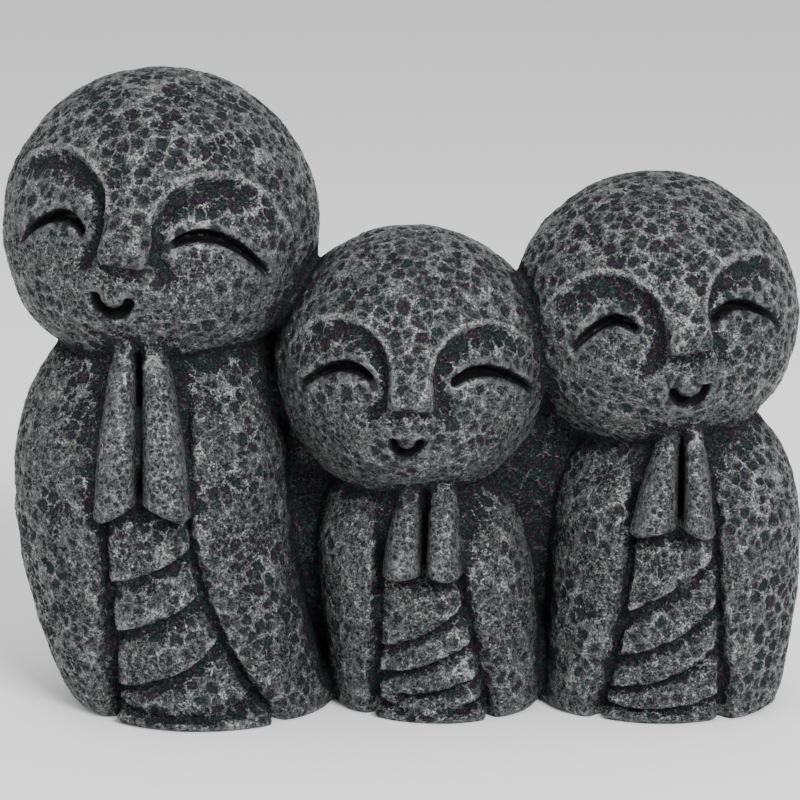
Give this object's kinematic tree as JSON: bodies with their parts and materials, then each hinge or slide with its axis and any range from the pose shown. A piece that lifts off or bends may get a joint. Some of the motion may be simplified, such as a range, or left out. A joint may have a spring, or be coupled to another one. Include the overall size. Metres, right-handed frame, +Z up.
{
  "type": "stone jizo statue",
  "caption": "Praying jizo figures with round smiling heads and draped robes, cast side by side as one dark pitted stone block.",
  "frame": {"origin": "middle of the object's box at the height of the flat underside", "axes": "+X towards the viewer's right along the row of figures, +Y towards their backs, so the faces look along -Y, +Z up"},
  "size_m": [0.15, 0.065, 0.1201],
  "materials": {
    "stone": "dark cast stone with a silver-grey dry-brushed highlight, semi-gloss"
  },
  "bodies": {
    "root": {"jizo_trio": "stone"}
  },
  "joints": []
}
